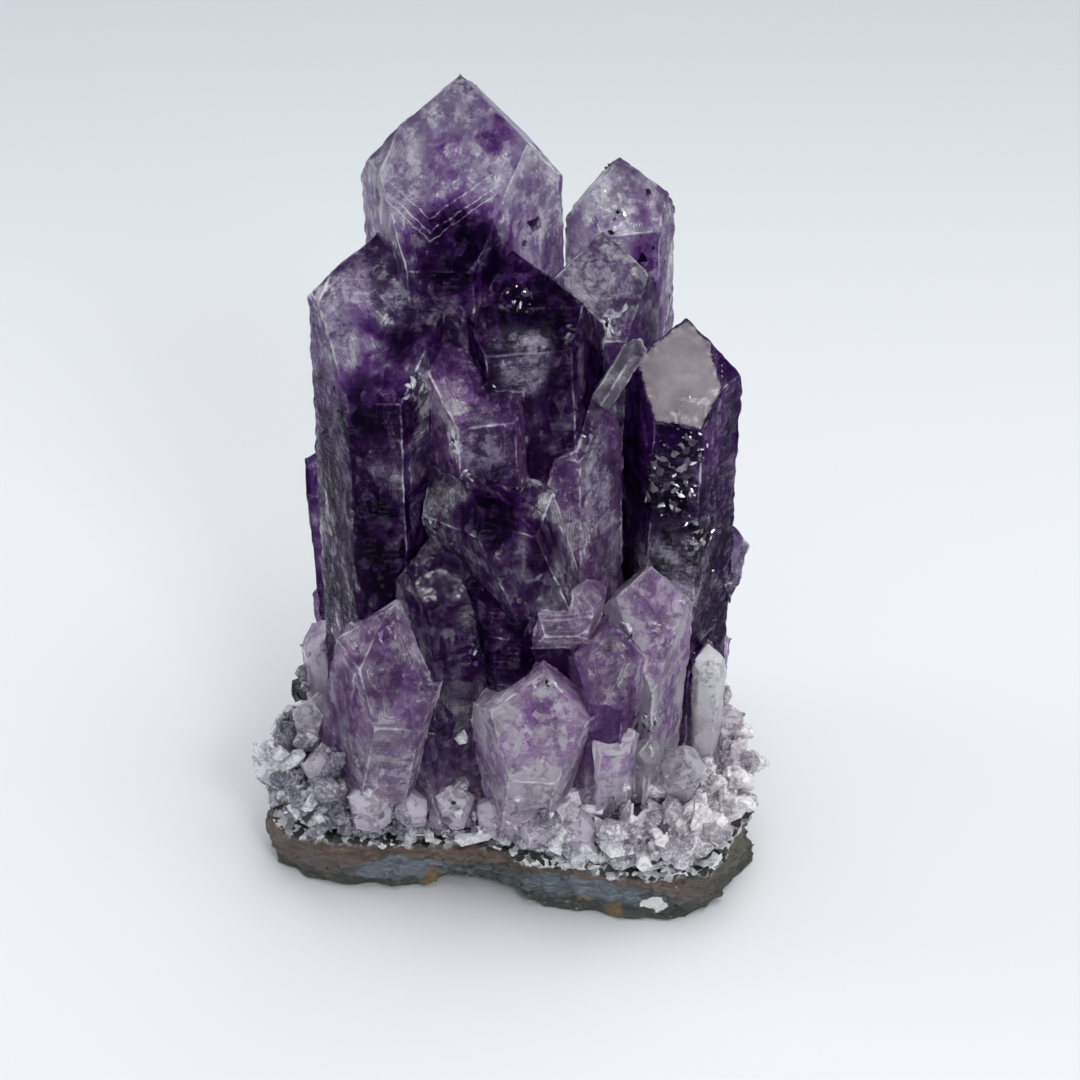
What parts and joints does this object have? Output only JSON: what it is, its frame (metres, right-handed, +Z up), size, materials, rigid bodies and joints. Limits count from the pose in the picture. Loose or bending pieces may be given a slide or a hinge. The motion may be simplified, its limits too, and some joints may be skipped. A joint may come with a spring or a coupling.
{
  "type": "amethyst cluster",
  "caption": "Upright cluster of amethyst points growing from a druse of pale quartz on a flat-bottomed rind of brown and blue-grey agate.",
  "frame": {"origin": "middle of the underside: the bottom centre of the bounding box, on the surface the rind rests on", "axes": "+Z up along the tall crystals, +X to the right along the widest side of the rind, -Y towards the front of the display side"},
  "size_m": [0.0724, 0.0612, 0.1154],
  "materials": {
    "violet_quartz": "dark violet translucent quartz with a glassy lustre",
    "lilac_quartz": "pale violet translucent quartz, striated across the prism faces",
    "smoky_quartz": "violet quartz with grey frosted tips and a glassy lustre",
    "clear_quartz": "nearly colourless quartz with a glassy lustre",
    "bed_quartz": "white to grey massive quartz covered with small glittering points",
    "agate": "dull brown rind with blue-grey agate and ochre stains"
  },
  "bodies": {
    "root": {"rim_point_1": "clear_quartz", "rim_point_2": "clear_quartz", "rim_point_3": "clear_quartz", "rim_point_4": "clear_quartz", "rim_point_5": "clear_quartz", "rim_point_6": "clear_quartz", "rim_point_7": "clear_quartz", "clear_spike": "clear_quartz", "left_tower": "smoky_quartz", "crown_point": "smoky_quartz", "pale_lath": "clear_quartz", "right_tower": "violet_quartz", "rear_point": "smoky_quartz", "left_twin": "lilac_quartz", "dark_point": "violet_quartz", "shoulder_point": "smoky_quartz", "middle_column": "lilac_quartz", "heart_point": "violet_quartz", "left_flank": "violet_quartz", "right_wing": "smoky_quartz", "shadow_column": "violet_quartz", "striped_point": "violet_quartz", "left_front_point": "lilac_quartz", "front_point": "lilac_quartz", "right_front_point": "lilac_quartz", "deep_front_point": "smoky_quartz", "button_point": "violet_quartz", "front_stub": "lilac_quartz", "window_point": "violet_quartz", "corner_sliver": "clear_quartz", "left_edge_point": "clear_quartz", "left_corner_point": "clear_quartz", "right_edge_point": "clear_quartz", "rear_crown_companion": "smoky_quartz", "rear_left_point": "violet_quartz", "rear_middle_point": "lilac_quartz", "rear_right_point": "violet_quartz", "left_side_point": "lilac_quartz", "right_side_point": "lilac_quartz", "rear_left_stub": "lilac_quartz", "rear_low_left_point": "clear_quartz", "rear_low_right_point": "clear_quartz", "rear_corner_point": "clear_quartz", "quartz_bed": "bed_quartz", "agate_rind": "agate"}
  },
  "joints": []
}
